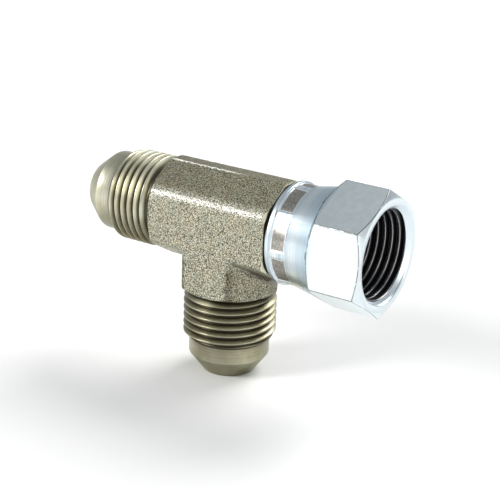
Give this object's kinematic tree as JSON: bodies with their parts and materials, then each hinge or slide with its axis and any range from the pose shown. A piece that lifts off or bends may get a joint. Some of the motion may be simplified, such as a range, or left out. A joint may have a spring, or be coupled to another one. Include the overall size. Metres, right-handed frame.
{
  "type": "37 degree flare swivel nut run tee",
  "caption": "Steel 37 degree flare tee: male flare ends on the run and the branch, and a free-turning female swivel nut on the other end of the run.",
  "frame": {"origin": "where the axes of the run and the branch cross", "axes": "+X along the run towards the swivel nut, -Z along the branch towards its nose, Y across the two large flats; the part stands upright on the branch nose"},
  "size_m": [0.0676, 0.023, 0.0453],
  "materials": {
    "plated_forging": "shot-blasted forging with turned ends, zinc-nickel plated, olive grey",
    "bright_zinc_nut": "turned and milled, bright blue-white zinc plated"
  },
  "bodies": {
    "tee": {"tee_body": "plated_forging"},
    "nut": {"swivel_nut": "bright_zinc_nut"}
  },
  "joints": [
    {"name": "nut_swivel", "type": "hinge", "parent": "tee", "child": "nut", "pos_m": [0, 0, 0], "axis": [1, 0, 0], "continuous": true}
  ]
}
